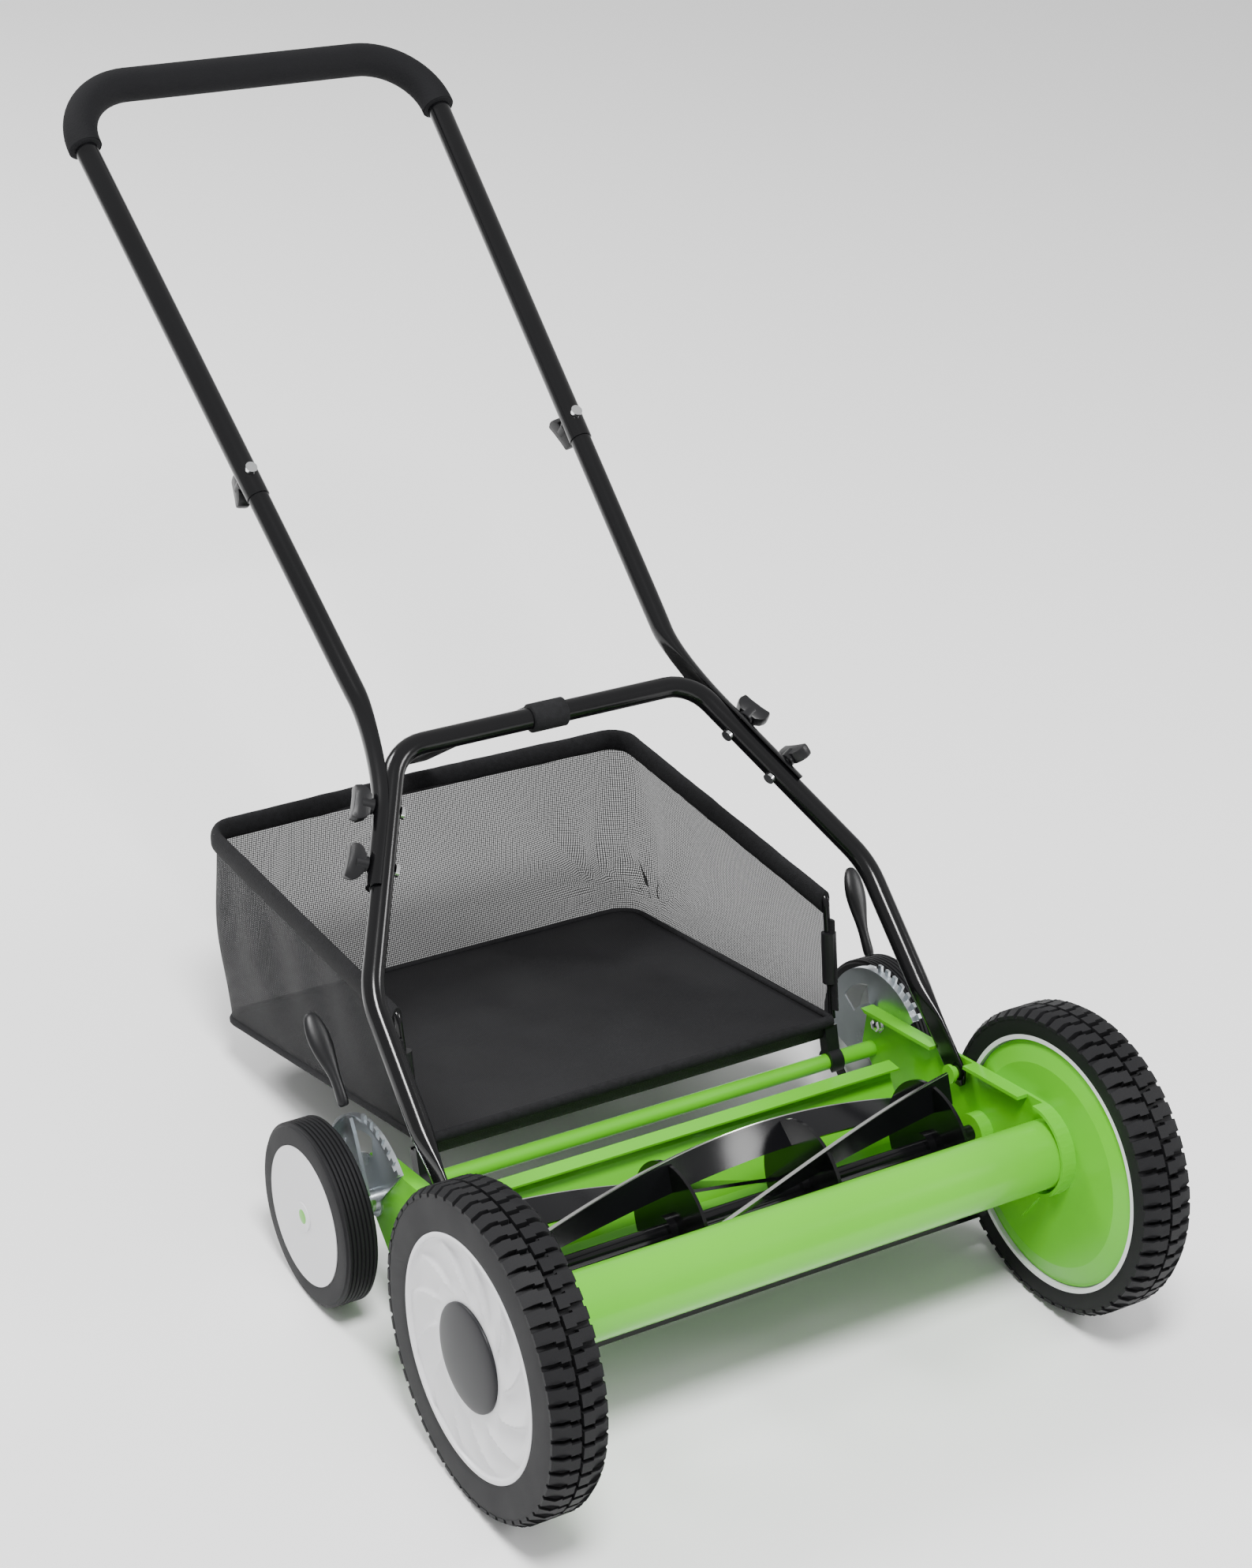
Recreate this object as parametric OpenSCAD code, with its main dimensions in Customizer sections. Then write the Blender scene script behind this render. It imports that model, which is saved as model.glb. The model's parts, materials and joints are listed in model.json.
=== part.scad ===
/* [Deck] */
// Distance between the outer faces of the two side plates
deck_w = 482; // [476:1:486]
// Thickness of a side plate
plate_t = 3; // [2.5:0.5:3.5]
// Width of the lip that is folded inwards along a side plate
lip_w = 10; // [8:1:11]
// Outer radius of the front tube
front_tube_r = 27.5; // [26:0.5:28]
// Radius of the rod that ties the plates together at the rear
tie_rod_r = 7; // [6:0.5:7]

/* [Front wheels] */
// Outer radius of a front tyre
wheel_r = 127; // [126:0.5:128]
// Radius of the front wheel's axle stub
axle_r = 8; // [7:0.5:9]
// Teeth of the ring gear inside a front wheel
ring_teeth = 90; // [90:1:90]
// Teeth of the pinion on the reel shaft
pinion_teeth = 12; // [12:1:12]
// Gear module
gear_module = 2; // [2:1:2]

/* [Reel] */
// Radius swept by the blades
reel_r = 59.5; // [57:0.5:59.5]
// Radius of a spider disc
spider_r = 55.5; // [53:0.5:55.5]
// Radius of the reel shaft
shaft_r = 7; // [6:0.5:8]
// Number of blades
blade_count = 5; // [5:1:5]
// Turn of a blade from one end to the other, in degrees
blade_twist = 108; // [90:1:120]
// Thickness of a blade
blade_t = 3; // [2:0.5:4]

/* [Rear wheels] */
// Outer radius of a rear wheel
rear_r = 75.3; // [70:0.1:75.3]
// Radius of the rear axle stub on the height lever
stub_r = 6; // [5:0.5:7]

/* [Handle] */
// Radius of the lower handle's tube
leg_r = 9; // [8:0.5:9]
// Radius of the middle tubes
mid_r = 9.1; // [8.5:0.1:9.1]
// Outer radius of the upper handle's tube
top_r = 10; // [9.8:0.1:10]
// Outer radius of the foam grip
grip_r = 15; // [14:0.5:16]
// Bolt radius in the handle joints
bolt_r = 3; // [2.5:0.5:3]

/* [Catcher] */
// Radius of the catcher's wire frame
wire_r = 3; // [2.5:0.5:3]
// Thickness of the catcher's cloth walls
cloth_t = 3; // [2:0.5:3]
// Width of the strap
strap_w = 25; // [20:1:30]

/* [Hidden] */
$fn = 64;

green = [0.42, 0.75, 0.22];
black = [0.08, 0.08, 0.08];
zinc = [0.72, 0.74, 0.76];
white = [0.88, 0.88, 0.88];
rubber = [0.16, 0.16, 0.17];

// Points are laid out from the front axle, in [y, z] with z = 0 on the ground.
axle = [0, wheel_r];
plate_x = deck_w / 2;
inner_x = plate_x - plate_t;
running = 0.05;
slip = 0.3;

// Gears: the reel shaft lies at the centre distance of the ring gear and the pinion.
ring_r = gear_module * ring_teeth / 2;
pinion_r = gear_module * pinion_teeth / 2;
reel_angle = -11;
reel = axle + (ring_r - pinion_r) * [cos(reel_angle), sin(reel_angle)];
pressure = 20;
backlash = 0.25;
gear_x = 250;
gear_w = 12;

// Side plate
top_a = [30, 178];
top_b = [240, 134];
nose = [3, 143.5];
nose_r = 39;
tube_c = [-5, 144];
tie = [230, 96];
pin_c = [112.8, 147.6];
pin_r = 5.5;
bearing_r = 16;
dish_r = 102;
flat_r = 85;

// Rear wheel and its lever
stub = [258, 75.3];
lever_x = 249;
lever_t = 3;
rear_x = 259.5;
rear_w = 28.5;

// Handle
leg_foot = [233.6, pin_c.x, pin_c.y];
leg_bend = [232.7, 263.4, 265.4];
leg_corner = [139, 411, 384];
leg_bends = [0, 80, 40, 40, 80, 0];
tube_wall = 1;
leg_dir = unit(leg_bend - leg_foot);
leg_up = unit(leg_corner - leg_bend);
bolt_dir = unit([0.888, 0.352, 0.295] - ([0.888, 0.352, 0.295] * leg_up) * leg_up);
bolt_1 = leg_corner - 54 * leg_up;
bolt_2 = leg_corner - 104 * leg_up;
channel_top = leg_corner - 42 * leg_up;
channel_end = leg_corner - 122 * leg_up;
top_corner = [175.4, 998.5, 742.5];
top_dir = unit([0.048, 0.8438, 0.5367]);
joint_c = top_corner - 411 * top_dir;
top_foot = joint_c - 22 * top_dir;
mid_foot = joint_c - 244.7 * top_dir;
mid_top = joint_c + 45 * top_dir;
joint_bolt_dir = unit([0, top_dir.z, -top_dir.y]);
grip_start = top_corner - 64 * top_dir;
top_bends = [0, 60, 60, 0];
bar_yz = [leg_corner.y, leg_corner.z];
channel_in = 9.6;
channel_t = 3.4;
channel_out = channel_in + channel_t;
bolt_reach = 15.5;

// Catcher
rim_front = [203, 275, 234];
rim_rear = [208, 612, 219];
rim_mid = [0, 634, 207];
post_foot = [200, 242, 131];
base_front = [236, 132];
base_rear = [577, 45];

// The part's origin is on the ground, under the middle of its length.
mid_y = (top_corner.y + grip_r - wheel_r) / 2;

function unit(v) = v / norm(v);
function flip(v) = [-v.x, v.y, v.z];
function polar(c, r, a) = c + r * [cos(a), sin(a)];
function arc(c, r, a0, a1, n) = [for (i = [0:n]) polar(c, r, a0 + (a1 - a0) * i / n)];
function inv(a) = tan(a) * 180 / PI - a;
function base_a(r, rb) = r <= rb ? 0 : acos(rb / r);
// Half the angle of an involute tooth at radius r
function tooth_half(r, teeth, pitch, gap) =
  90 / teeth + inv(pressure) - inv(base_a(r, pitch * cos(pressure))) - gap / 2 / pitch * 180 / PI;
// Outline of a gear whose first tooth points at angle zero
function gear_points(teeth, pitch, low, high, gap) = [
  for (i = [0:teeth - 1])
    for (s = [-1, 1])
      for (j = [0:3])
        let (k = s < 0 ? j : 3 - j)
        let (r = low + (high - low) * k / 3)
        let (a = i * 360 / teeth + s * tooth_half(r, teeth, pitch, gap))
        r * [cos(a), sin(a)]
];

module place() {
  translate([0, -mid_y, 0]) children();
}

module side(s) {
  mirror([s < 0 ? 1 : 0, 0, 0]) place() children();
}

module both() {
  for (s = [-1, 1]) side(s) children();
}

// A flat shape in [y, z], extruded along +X from x0
module slab(x0, t) {
  translate([x0, 0, 0]) rotate([90, 0, 90]) linear_extrude(t) children();
}

// A round bar along X
module xbar(x0, x1, r, c) {
  translate([x0, c.x, c.y]) rotate([0, 90, 0]) cylinder(h = x1 - x0, r = r);
}

// A profile in [radius, x], turned about the X axis through c
module turned(c) {
  translate([0, c.x, c.y]) rotate([90, 0, 90]) rotate_extrude() children();
}

module rod(p, q, r) {
  d = q - p;
  translate(p) rotate([0, acos(d.z / norm(d)), atan2(d.y, d.x)]) cylinder(h = norm(d), r = r);
}

// Puts local X, Y and Z along u, v and w at point c
module frame_at(c, u, v, w) {
  translate(c) rotate([atan2(v.z, w.z), -asin(u.z), atan2(u.y, u.x)]) children();
}

function corner_turn(a, b, c) = acos(max(-1, min(1, unit(b - a) * unit(c - b))));
function corner_cut(a, b, c, bend_r) = bend_r * tan(corner_turn(a, b, c) / 2);

// A round tube along a polyline whose corners are bent to the given radii. A bend is swaged a
// hair wider than the straights, which run a short way into it.
module bent(p, bends, r) {
  swage = 0.1;
  lap = 1;
  last = len(p) - 1;
  cut = [for (i = [0:last]) i == 0 || i == last ? 0 : corner_cut(p[i - 1], p[i], p[i + 1], bends[i]) - lap];
  for (i = [0:last - 1]) {
    d = unit(p[i + 1] - p[i]);
    rod(p[i] + cut[i] * d, p[i + 1] - cut[i + 1] * d, r);
  }
  for (i = [1:last - 1]) {
    u = unit(p[i] - p[i - 1]);
    v = unit(p[i + 1] - p[i]);
    n = unit(v - (v * u) * u);
    frame_at(p[i] - (cut[i] + lap) * u + bends[i] * n, -n, u, cross(u, n))
      rotate_extrude(angle = corner_turn(p[i - 1], p[i], p[i + 1]))
        translate([bends[i], 0]) circle(r = r + swage);
  }
}

// ---- deck ----

module side_plate(s) {
  lip_in = inner_x - lip_w;
  notch = [100, 144];
  slope = atan2(top_b.y - top_a.y, top_b.x - top_a.x);
  across = [sin(-slope), cos(slope)];
  shift = top_a - plate_t * across;
  color(green) side(s) {
    difference() {
      union() {
        slab(inner_x, plate_t) polygon(concat(
          [top_a], arc(nose, nose_r, 78, 254, 24), [[14, 66], [60, 50], [140, 48], [200, 60], [244, 94]],
          [[243, 128], [240, 134]]));
        slab(lip_in, lip_w) difference() {
          polygon([top_a, shift, [top_b.x - 6, top_b.y - 2], [top_b.x, top_b.y]]);
          polygon([[notch.x, 140], [notch.y, 140], [notch.y, 180], [notch.x, 180]]);
        }
        slab(lip_in, lip_w) difference() {
          polygon(concat(arc(nose, nose_r, 78, 254, 24), arc(nose, nose_r - plate_t, 254, 78, 24)));
        }
      }
      xbar(inner_x - 1, plate_x + 1, axle_r + slip, axle);
      xbar(inner_x - 1, plate_x + 1, shaft_r + 2, reel);
      xbar(inner_x - 1, plate_x + 1, pin_r + running, pin_c);
      xbar(inner_x - 1, plate_x + 1, stub_r + slip, tie);
    }
  }
}

module front_tube() {
  color(green) place() difference() {
    xbar(-inner_x, inner_x, front_tube_r, tube_c);
    xbar(-inner_x - 1, inner_x + 1, front_tube_r - 2, tube_c);
  }
}

module tie_rod() {
  color(green) place() difference() {
    xbar(-inner_x, inner_x, tie_rod_r, tie);
    for (s = [-1, 1]) xbar(s > 0 ? inner_x - 20 : -inner_x - 1, s > 0 ? inner_x + 1 : 20 - inner_x, stub_r / 2, tie);
  }
}

module rear_deflector() {
  wide = inner_x;
  narrow = 225;
  color(green) place() {
    slab(-wide, 2 * wide) polygon([[90.3, 43], [152, 58], [168, 75.6], [166.5, 77], [150.5, 60.2], [90.3, 45.2]]);
    slab(-narrow, 2 * narrow) polygon([
      [168, 75.6], [187, 97], [190, 113], [175, 114], [175, 112], [187.6, 111], [185, 98], [166.5, 77]]);
  }
}

module cutter_bar() {
  color(black) place() difference() {
    slab(-inner_x, 2 * inner_x) polygon([[54, 40], [60, 38], [90, 40], [90, 49.2], [64, 49.2], [54, 45]]);
    for (i = [-2:2]) translate([i * 90, 80, 30]) cylinder(h = 30, r = 2.6);
  }
}

module bed_knife() {
  color(zinc) place() difference() {
    slab(4 - inner_x, 2 * inner_x - 8) polygon([[62, 52], [64, 49.4], [90, 49.4], [90, 52], [62, 52.2]]);
    for (i = [-2:2]) translate([i * 90, 80, 45]) cylinder(h = 10, r = 2.6);
  }
}

module bed_screws() {
  color(zinc) place() for (i = [-2:2]) translate([i * 90, 80, 0]) {
    translate([0, 0, 37]) cylinder(h = 14.6, r = 2.5);
    translate([0, 0, 34]) cylinder(h = 5, r = 5, $fn = 6);
  }
}

module gear_cover(s) {
  color(green) side(s) difference() {
    turned(axle) polygon([
      [0, plate_x], [flat_r, plate_x], [dish_r - 2, plate_x + 5], [dish_r, plate_x + 5.2],
      [dish_r, plate_x + 6.5], [dish_r - 3, plate_x + 6.5], [flat_r - 1, plate_x + 1.5], [0, plate_x + 1.5]]);
    xbar(plate_x - 1, plate_x + 3, axle_r + slip, axle);
    xbar(plate_x - 1, plate_x + 3, shaft_r + 2, reel);
  }
}

module reel_bearing(s) {
  color(green) side(s) difference() {
    xbar(inner_x - 12, inner_x, bearing_r, reel);
    xbar(inner_x - 13, inner_x + 1, shaft_r + running, reel);
  }
}

module front_axle(s) {
  color(zinc) side(s) {
    xbar(inner_x, 283, axle_r, axle);
    xbar(plate_x + 1.5, gear_x - 1, 15, axle);
  }
}

module handle_pins() {
  color(green) both() {
    xbar(228, plate_x, pin_r, pin_c);
    xbar(225, 228, 8, pin_c);
  }
}

module quadrant(s) {
  rim = 70;
  foot = 14;
  color(zinc) side(s) difference() {
    union() {
      slab(plate_x, 1.5) polygon(concat(arc(tie, rim, -15, 130, 24), [polar(tie, foot, 150)],
        arc(tie, foot, 170, 300, 8), [[262, 72]]));
      xbar(plate_x, plate_x + 1.5, foot, tie);
      intersection() {
        turned(tie) polygon([[rim - 2, plate_x], [rim, plate_x], [rim, plate_x + 6.5], [rim - 2, plate_x + 6.5]]);
        slab(plate_x, 8) polygon(concat([tie], arc(tie, 90, -15, 130, 10)));
      }
      for (a = [80:8:128]) translate([plate_x + 4, tie.x, tie.y]) rotate([a, 0, 0])
        translate([0, rim - 1, -2.2]) cube([2.5, 6.5, 4.4]);
    }
    slab(plate_x - 1, 4) polygon(concat(arc(tie, 56, 25, 85, 12), arc(tie, 38, 85, 25, 12)));
    xbar(plate_x - 1, plate_x + 3, stub_r + slip, tie);
  }
}

module quadrant_bolts() {
  color(zinc) both() {
    xbar(inner_x, lever_x + lever_t + 0.2, stub_r, tie);
    xbar(plate_x + 1.5, lever_x - 0.2, 10, tie);
    translate([lever_x + lever_t + 0.2, tie.x, tie.y]) rotate([0, 90, 0]) cylinder(h = 5, r = 9, $fn = 6);
    xbar(inner_x - 5, inner_x, stub_r / 2 - running, tie);
  }
}

// ---- front wheels ----

module front_tyre(s) {
  color(rubber) side(s) turned(axle) polygon([
    [107, 243], [120, 241.5], [124.2, 243], [wheel_r, 248], [wheel_r, 280], [124.2, 285], [118, 287],
    [94.2, 287], [94.2, 284.2], [104.2, 280.2], [104.2, 250]]);
}

module front_hub(s) {
  drum = 100;
  vanes = 12;
  color(white) side(s) {
    turned(axle) polygon([
      [axle_r + running, gear_x], [20, gear_x], [20, 281], [drum, 281], [drum, 249], [103, 248], [103, 243],
      [106.8, 243], [104, 250], [104, 280], [94, 284], [94, 287], [90, 287], [90, 284],
      [axle_r + running, 284]]);
    translate([gear_x, axle.x, axle.y]) rotate([90, 0, 90]) linear_extrude(gear_w) difference() {
      circle(r = drum + 1);
      rotate(reel_angle)
        polygon(gear_points(ring_teeth, ring_r, ring_r - 1.7, ring_r + 2.4, -backlash));
    }
    translate([284, axle.x, axle.y]) rotate([90, 0, 90]) for (i = [0:vanes - 1])
      rotate(i * 360 / vanes) translate([45, -50, 0]) rotate(37) rotate_extrude(angle = 50)
        translate([49, 0]) square([3, 2.2]);
  }
}

module hub_cap(s) {
  cap = 41.9;
  dome = 4.6;
  bow = (cap * cap + dome * dome) / 2 / dome;
  color(black) side(s) turned(axle) polygon(concat(
    [[0, 284.2], [cap, 284.2], [cap, 285.4]],
    [for (i = [1:12]) let (r = cap * (1 - i / 12)) [r, 285.4 + sqrt(bow * bow - r * r) - bow + dome]]));
}

// ---- reel ----

module reel_shaft() {
  color(zinc) place() xbar(-gear_x - gear_w - 2, gear_x + gear_w + 2, shaft_r, reel);
}

module reel_spiders() {
  color(black) place() for (x = [-185, -62, 62, 185]) difference() {
    union() {
      xbar(x - 1.5, x + 1.5, spider_r, reel);
      xbar(x - 8, x + 8, shaft_r + 6, reel);
    }
    xbar(x - 9, x + 9, shaft_r + running, reel);
  }
}

module reel_blade(i) {
  depth = 26;
  start = 182 + i * 360 / blade_count;
  color(black) place() translate([-200, reel.x, reel.y]) rotate([90, 0, 90])
    linear_extrude(405, twist = blade_twist, slices = 36, segments = 4, convexity = 4)
      rotate(start) polygon([[reel_r - depth, 4], [reel_r - 0.4, 0], [reel_r, blade_t], [reel_r - depth, 4 + blade_t]]);
}

module reel_pinions() {
  color(zinc) both() translate([gear_x + 0.5, reel.x, reel.y]) rotate([90, 0, 90])
    linear_extrude(gear_w - 1) difference() {
      rotate(reel_angle)
        polygon(gear_points(pinion_teeth, pinion_r, pinion_r - 2.4, pinion_r + 1.7, backlash));
      circle(r = shaft_r + running);
    }
}

// ---- rear wheels and height levers ----

module height_lever(s) {
  color(zinc) side(s) difference() {
    union() {
      slab(lever_x, lever_t) union() {
        polygon([[219, 103], [243, 88], [262, 143], [264, 157], [256, 160], [248, 150]]);
        polygon([[223, 84], [254, 66], [263, 84], [238, 106]]);
      }
      xbar(lever_x, lever_x + lever_t, 14, tie);
      xbar(lever_x, lever_x + lever_t, 10.5, stub);
      xbar(lever_x, rear_x + rear_w + 1.5, stub_r, stub);
    }
    xbar(lever_x - 1, lever_x + lever_t + 1, stub_r + running, tie);
  }
}

// A ball squeezed across the lever's shank, which leans 41 degrees back
module pad(p, r, squeeze) {
  translate(p) rotate([-41, 0, 0]) scale([1, squeeze, 1]) sphere(r = r, $fn = 24);
}

module lever_grip(s) {
  waist = [252, 279, 181];
  color(black) side(s) {
    hull() {
      pad([250.5, 267.5, 167], 5.5, 1);
      pad(waist, 4.5, 0.9);
    }
    hull() {
      pad(waist, 4.5, 0.9);
      pad([256, 302, 207], 10, 0.5);
      pad([258, 312, 218], 8, 0.5);
    }
  }
}

module rear_tyre(s) {
  color(rubber) side(s) turned(stub) polygon([
    [57.6, rear_x], [rear_r - 3, rear_x], [rear_r, rear_x + 3], [rear_r, rear_x + rear_w - 3],
    [rear_r - 3, rear_x + rear_w], [57.6, rear_x + rear_w]]);
}

module rear_disc(s) {
  out = rear_x + rear_w;
  color(white) side(s) turned(stub) polygon([
    [stub_r + running, rear_x], [14, rear_x], [14, out - 3], [54, out - 3], [54, rear_x + 0.5],
    [57.4, rear_x + 0.5], [57.4, out + 0.6], [12, out + 0.6], [12, out + 1.5], [stub_r + running, out + 1.5]]);
}

// ---- handle ----

module lower_handle() {
  tab_w = 12.5;
  tab_l = 42;
  tab_x = 232;
  path = [leg_foot + 34 * leg_dir, leg_bend, leg_corner, flip(leg_corner), flip(leg_bend),
    flip(leg_foot + 34 * leg_dir)];
  long = [path[0] - leg_dir, leg_bend, leg_corner, flip(leg_corner), flip(leg_bend),
    flip(path[0] - leg_dir)];
  color(black) {
    place() difference() {
      bent(path, leg_bends, leg_r);
      bent(long, leg_bends, leg_r - tube_wall);
    }
    both() difference() {
      union() {
        xbar(tab_x, tab_x + 4, tab_w, pin_c);
        translate([tab_x, pin_c.x, pin_c.y]) rotate([atan2(leg_dir.z, leg_dir.y), 0, 0]) translate([0, 0, -tab_w])
          cube([4, tab_l, 2 * tab_w]);
      }
      xbar(tab_x - 1, tab_x + 5, pin_r + running, pin_c);
    }
  }
}

module middle_tube(s) {
  wide = unit(cross(leg_up, bolt_dir));
  color(black) side(s) difference() {
    union() {
      difference() {
        rod(mid_foot, mid_top, mid_r);
        rod(mid_foot + 14 * top_dir, mid_top + top_dir, mid_r - tube_wall);
      }
      translate(mid_foot) sphere(r = mid_r + 0.1);
      hull() {
        translate(mid_foot) sphere(r = mid_r - 0.2, $fn = 32);
        frame_at(channel_top, bolt_dir, wide, leg_up) translate([channel_in, -9, -2]) cube([channel_t, 18, 2]);
      }
      frame_at(channel_end, bolt_dir, wide, leg_up)
        translate([channel_in, -9.2, 0]) cube([channel_t, 18.4, norm(channel_top - channel_end) - 0.5]);
    }
    for (p = [bolt_1, bolt_2]) rod(p, p + 20 * bolt_dir, bolt_r + slip);
    rod(joint_c - 20 * joint_bolt_dir, joint_c + 20 * joint_bolt_dir, bolt_r + slip);
  }
}

module upper_handle() {
  path = [top_foot, top_corner, flip(top_corner), flip(top_foot)];
  long = [top_foot - 5 * top_dir, top_corner, flip(top_corner), flip(top_foot - 5 * top_dir)];
  color(black) place() difference() {
    bent(path, top_bends, top_r);
    bent(long, top_bends, mid_r + 0.1);
    for (c = [joint_c, flip(joint_c)])
      rod(c - 20 * joint_bolt_dir, c + 20 * joint_bolt_dir, bolt_r + slip);
  }
}

module foam_grip() {
  path = [grip_start, top_corner, flip(top_corner), flip(grip_start)];
  long = [grip_start - top_dir, top_corner, flip(top_corner), flip(grip_start - top_dir)];
  color(black) place() difference() {
    bent(path, top_bends, grip_r);
    bent(long, top_bends, top_r + 0.1);
  }
}

module lower_bolts() {
  color(zinc) both() for (p = [bolt_1, bolt_2]) {
    rod(p + (leg_r + 0.1) * bolt_dir, p + (channel_out + bolt_reach) * bolt_dir, bolt_r);
    rod(p - (leg_r + 3) * bolt_dir, p - (leg_r + 0.1) * bolt_dir, 5);
  }
}

module upper_bolts() {
  color(zinc) both() {
    rod(joint_c - (top_r + 2.5) * joint_bolt_dir, joint_c + (top_r + bolt_reach) * joint_bolt_dir, bolt_r);
    rod(joint_c - (top_r + 3.5) * joint_bolt_dir, joint_c - (top_r + 0.1) * joint_bolt_dir, 5);
  }
}

// A wing knob on the bolt that leaves c along d, turned by a degrees
module knob(c, d, a) {
  neck_r = 6.5;
  neck_h = 17;
  wing_t = 11;
  wing = [[-8, 3], [8, 3], [15, 12], [13.5, 18], [-13.5, 18], [-15, 12]];
  u = unit(cross(d, [1, 0.2, 0.1]));
  v = cross(d, u);
  color(black) frame_at(c, u, v, d) difference() {
    union() {
      cylinder(h = neck_h, r = neck_r);
      rotate([90, 0, a]) translate([0, 0, -wing_t / 2]) linear_extrude(wing_t) polygon(wing);
    }
    translate([0, 0, -1]) cylinder(h = neck_h, r = bolt_r + running);
  }
}

module lower_knob(s, c, a) {
  side(s) knob(c + (channel_out + slip) * bolt_dir, bolt_dir, a);
}

module upper_knob(s) {
  side(s) knob(joint_c + (top_r + slip) * joint_bolt_dir, joint_bolt_dir, 0);
}

// ---- grass catcher ----

module catcher_wire() {
  path = [post_foot, rim_front, rim_rear, rim_mid, flip(rim_rear), flip(rim_front), flip(post_foot)];
  color(black) place() bent(path, [0, 12, 22, 60, 22, 12, 0], wire_r);
}

module catcher_base() {
  half = 204;
  hook_gap = 189;
  color(black) place() difference() {
    slab(-half, 2 * half) polygon([
      base_front, [238, 114], [241, 114], [242, 126.5], [base_rear.x, base_rear.y - 4], base_rear]);
    for (x = [-half - 1, hook_gap]) slab(x, half + 1 - hook_gap) translate([230, 110]) square([20, 30]);
  }
}

module catcher_mesh() {
  drop = 7;
  half = 208;
  color([0.2, 0.2, 0.2]) place() {
    for (x = [-half, half - cloth_t]) slab(x, cloth_t) polygon([
      [250, 131], base_rear + [0, 1], [612, 219 - drop], [281, 234 - drop], [270, 200]]);
    slab(-half, 2 * half) polygon([
      base_rear + [0, 1], [612, 219 - drop], [612 - cloth_t, 219 - drop], base_rear + [-cloth_t, 1.8]]);
  }
}

module catcher_hooks() {
  hook_in = tie_rod_r + slip;
  hook_out = hook_in + 3.5;
  color(black) both() {
    difference() {
      union() {
        xbar(190, 202, hook_out, tie);
        slab(190, 12) polygon([[228, 104], [238, 100], [247, 122], [237, 127]]);
      }
      xbar(189, 203, hook_in, tie);
      slab(189, 14) polygon([tie, polar(tie, 30, -70), polar(tie, 30, -110), polar(tie, 30, -150)]);
      rod([200, 242, 122.5], [200, 250, 140], wire_r + slip);
    }
  }
}

module catcher_strap() {
  loop_in = leg_r + slip;
  loop_out = loop_in + 2;
  down = unit([rim_mid.y, rim_mid.z] - bar_yz);
  up = [-down.y, down.x];
  start = bar_yz + (loop_in + 1) * up;
  stop = [rim_mid.y, rim_mid.z] - 7 * down + 6 * up;
  color(black) place() difference() {
    union() {
      xbar(-strap_w / 2, strap_w / 2, loop_out, bar_yz);
      slab(-strap_w / 2, strap_w) polygon([start - up, start + up, stop + up, stop - up]);
    }
    xbar(-strap_w, strap_w, loop_in, bar_yz);
  }
}

side_plate(-1);  // side_plate_left
side_plate(1);  // side_plate_right
front_tube();
tie_rod();
rear_deflector();
cutter_bar();
bed_knife();
bed_screws();
gear_cover(-1);  // gear_cover_left
gear_cover(1);  // gear_cover_right
reel_bearing(-1);  // reel_bearing_left
reel_bearing(1);  // reel_bearing_right
front_axle(-1);  // front_axle_left
front_axle(1);  // front_axle_right
handle_pins();
quadrant(-1);  // quadrant_left
quadrant(1);  // quadrant_right
quadrant_bolts();
front_tyre(-1);  // front_tyre_left
front_tyre(1);  // front_tyre_right
front_hub(-1);  // front_hub_left
front_hub(1);  // front_hub_right
hub_cap(-1);  // hub_cap_left
hub_cap(1);  // hub_cap_right
reel_shaft();
reel_spiders();
reel_blade(0);  // reel_blade_1
reel_blade(1);  // reel_blade_2
reel_blade(2);  // reel_blade_3
reel_blade(3);  // reel_blade_4
reel_blade(4);  // reel_blade_5
reel_pinions();
height_lever(-1);  // height_lever_left
height_lever(1);  // height_lever_right
lever_grip(-1);  // lever_grip_left
lever_grip(1);  // lever_grip_right
rear_tyre(-1);  // rear_tyre_left
rear_tyre(1);  // rear_tyre_right
rear_disc(-1);  // rear_disc_left
rear_disc(1);  // rear_disc_right
lower_handle();
middle_tube(-1);  // middle_tube_left
middle_tube(1);  // middle_tube_right
upper_handle();
foam_grip();
lower_bolts();
upper_bolts();
lower_knob(-1, bolt_1, 80);  // lower_knob_left_1
lower_knob(-1, bolt_2, 96);  // lower_knob_left_2
lower_knob(1, bolt_1, 62);  // lower_knob_right_1
lower_knob(1, bolt_2, 10);  // lower_knob_right_2
upper_knob(-1);  // upper_knob_left
upper_knob(1);  // upper_knob_right
catcher_wire();
catcher_base();
catcher_mesh();
catcher_hooks();
catcher_strap();
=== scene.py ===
import json
import math

import bmesh
import bpy
from mathutils import Matrix, Vector, noise


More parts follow.
